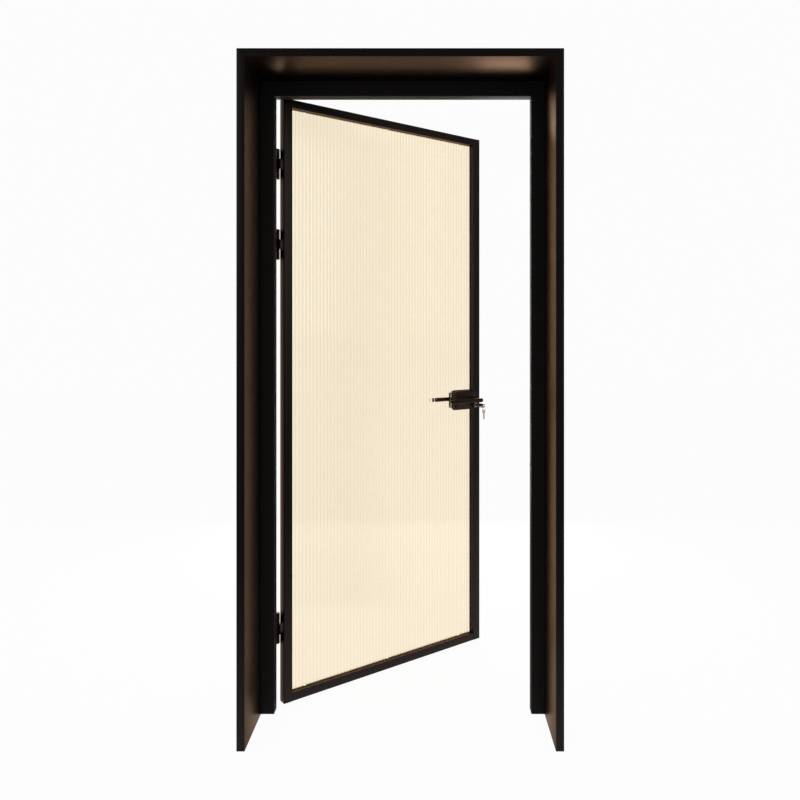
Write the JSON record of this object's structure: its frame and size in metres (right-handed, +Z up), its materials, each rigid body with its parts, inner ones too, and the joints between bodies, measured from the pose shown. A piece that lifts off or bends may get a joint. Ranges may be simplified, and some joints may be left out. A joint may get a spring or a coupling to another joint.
{
  "type": "glazed entrance door",
  "caption": "Slim dark metal entrance door set: deep frame with a stop, one leaf of reeded glass on barrel hinges, and a narrow lock with a lever on each face and a key.",
  "frame": {"origin": "foot of the hinge jamb at its outer front corner, on the floor", "axes": "+X across the doorway from the hinge jamb to the lock jamb, +Y through the doorway from the front face to the side that the leaf opens to, +Z up"},
  "size_m": [1, 0.8532, 2.145],
  "materials": {
    "powder_coat": "semi-gloss powder coat",
    "hardware_coat": "satin powder coat",
    "steel": "satin",
    "rubber": "matt",
    "glass": "reeded, clear with a warm tint"
  },
  "bodies": {
    "frame": {"hinge_jamb_lining": "powder_coat", "lock_jamb_lining": "powder_coat", "head_lining": "powder_coat", "lining_corner_cleats": "steel", "hinge_jamb_rebate": "powder_coat", "lock_jamb_rebate": "powder_coat", "head_rebate": "powder_coat", "hinge_jamb_seal": "rubber", "lock_jamb_seal": "rubber", "head_seal": "rubber", "strike_plate": "steel", "strike_box": "steel", "strike_screws": "steel", "lower_hinge_jamb_wing": "hardware_coat", "middle_hinge_jamb_wing": "hardware_coat", "upper_hinge_jamb_wing": "hardware_coat", "lower_hinge_pin": "steel", "middle_hinge_pin": "steel", "upper_hinge_pin": "steel", "hinge_pin_caps": "hardware_coat", "hinge_jamb_screws": "steel"},
    "leaf": {"hinge_stile": "powder_coat", "lock_stile": "powder_coat", "top_rail": "powder_coat", "bottom_rail": "powder_coat", "glass_pane": "glass", "near_glass_seal": "rubber", "far_glass_seal": "rubber", "setting_blocks": "rubber", "hinge_side_bead": "powder_coat", "lock_side_beads": "powder_coat", "top_bead": "powder_coat", "bottom_bead": "powder_coat", "bead_screws": "steel", "lock_box": "hardware_coat", "lock_box_seal": "rubber", "near_lock_cover": "hardware_coat", "far_lock_cover": "hardware_coat", "cover_screws": "steel", "lock_case": "steel", "lock_faceplate": "steel", "faceplate_screws": "steel", "lever_roses": "hardware_coat", "cylinder_halves": "steel", "lower_hinge_door_wing": "hardware_coat", "middle_hinge_door_wing": "hardware_coat", "upper_hinge_door_wing": "hardware_coat", "hinge_door_screws": "steel"},
    "levers": {"near_lever": "hardware_coat", "far_lever": "hardware_coat", "lever_spindle": "steel", "lever_follower": "steel"},
    "latch": {"latch_bolt": "steel"},
    "bolt": {"dead_bolt": "steel"},
    "key": {"cylinder_plug": "steel", "key": "steel", "key_ring": "steel", "spare_key": "steel"}
  },
  "joints": [
    {"name": "leaf_swing", "type": "hinge", "parent": "frame", "child": "leaf", "pos_m": [0.057, 0.315, 1.058], "axis": [0, 0, 1], "range_deg": [-37, 73]},
    {"name": "lever_turn", "type": "hinge", "parent": "leaf", "child": "levers", "pos_m": [0.76591, 0.79661, 1.002], "axis": [0.6018, -0.7986, 0], "range_deg": [0, 32], "stiffness_Nm_per_rad": 2, "springref_deg": -20.05},
    {"name": "latch_slide", "type": "slide", "parent": "leaf", "child": "latch", "axis": [0.7986, 0.6018, 0], "range_m": [-0.011, 0]},
    {"name": "key_turn", "type": "hinge", "parent": "leaf", "child": "key", "pos_m": [0.78276, 0.77425, 0.98], "axis": [0.6018, -0.7986, 0], "range_deg": [0, 360]},
    {"name": "bolt_slide", "type": "slide", "parent": "leaf", "child": "bolt", "axis": [0.7986, 0.6018, 0], "range_m": [0, 0.013]}
  ],
  "couplings": [
    {"joint": "latch_slide", "follows": "lever_turn", "m_per_rad": -0.019695},
    {"joint": "key_turn", "follows": "bolt_slide", "rad_per_m": 483.32}
  ]
}
